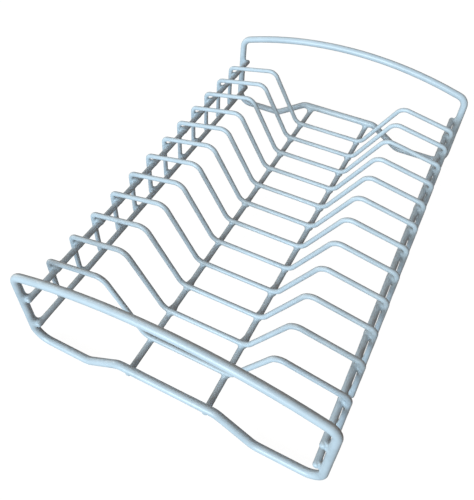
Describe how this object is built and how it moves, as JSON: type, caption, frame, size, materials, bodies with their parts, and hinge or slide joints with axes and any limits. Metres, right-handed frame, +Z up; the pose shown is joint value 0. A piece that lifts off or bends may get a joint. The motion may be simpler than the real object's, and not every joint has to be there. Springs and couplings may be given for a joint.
{
  "type": "dish drying rack",
  "caption": "Open wire rack that holds plates on edge in a V-shaped valley between two arched end frames, to drain and dry.",
  "frame": {"origin": "under the middle of the rack, on the surface that it stands on", "axes": "+Z up, +Y along the rack from its front end frame to its rear end frame, +X to the right"},
  "size_m": [0.241, 0.3664, 0.1005],
  "materials": {
    "end_frame_coat": "satin dipped plastic coat over steel wire",
    "plate_wire_coat": "satin dipped plastic coat over steel wire",
    "rod_coat": "satin dipped plastic coat over steel wire"
  },
  "bodies": {
    "root": {"front_end_frame": "end_frame_coat", "rear_end_frame": "end_frame_coat", "plate_wire_01": "plate_wire_coat", "plate_wire_02": "plate_wire_coat", "plate_wire_03": "plate_wire_coat", "plate_wire_04": "plate_wire_coat", "plate_wire_05": "plate_wire_coat", "plate_wire_06": "plate_wire_coat", "plate_wire_07": "plate_wire_coat", "plate_wire_08": "plate_wire_coat", "plate_wire_09": "plate_wire_coat", "plate_wire_10": "plate_wire_coat", "plate_wire_11": "plate_wire_coat", "plate_wire_12": "plate_wire_coat", "left_upper_side_rod": "rod_coat", "right_upper_side_rod": "rod_coat", "left_lower_side_rod": "rod_coat", "right_lower_side_rod": "rod_coat", "left_floor_rod": "rod_coat", "right_floor_rod": "rod_coat"}
  },
  "joints": []
}
